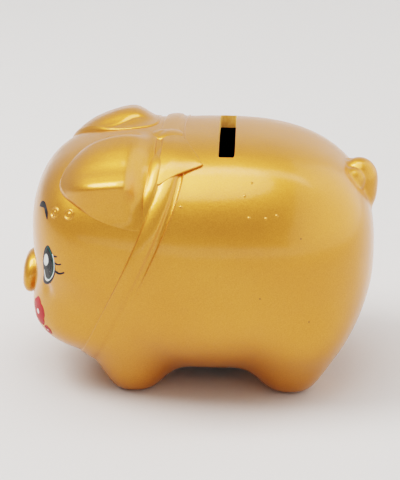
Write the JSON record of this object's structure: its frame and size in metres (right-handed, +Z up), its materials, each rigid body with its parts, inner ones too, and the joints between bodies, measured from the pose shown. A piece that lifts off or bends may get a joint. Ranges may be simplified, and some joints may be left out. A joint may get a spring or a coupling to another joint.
{
  "type": "piggy bank",
  "caption": "Hollow pottery pig money box in gold lacquer with a coin slot across the back, a neckerchief in relief and a soft belly stopper.",
  "frame": {"origin": "on the ground under the middle of the pig", "axes": "+X from the snout towards the tail, +Y towards the pig's right side, +Z up; the snout faces -X"},
  "size_m": [0.1308, 0.096, 0.0962],
  "materials": {
    "gold_lacquer": "gloss",
    "black_transfer": "gloss",
    "red_transfer": "gloss",
    "soft_stopper": "satin"
  },
  "bodies": {
    "bank": {"body_shell": "gold_lacquer", "snout": "gold_lacquer", "tail": "gold_lacquer", "scarf_band": "gold_lacquer", "scarf_knot": "gold_lacquer", "scarf_end": "gold_lacquer", "ear_left": "gold_lacquer", "ear_right": "gold_lacquer", "eye_left": "black_transfer", "eye_right": "black_transfer", "brow_left": "black_transfer", "brow_right": "black_transfer", "blossom_left": "red_transfer", "blossom_right": "red_transfer", "bud_left": "red_transfer", "bud_right": "red_transfer"},
    "stopper": {"stopper": "soft_stopper"}
  },
  "joints": [
    {"name": "stopper_pull", "type": "slide", "parent": "bank", "child": "stopper", "axis": [0, 0, -1], "range_m": [0, 0.03]}
  ]
}
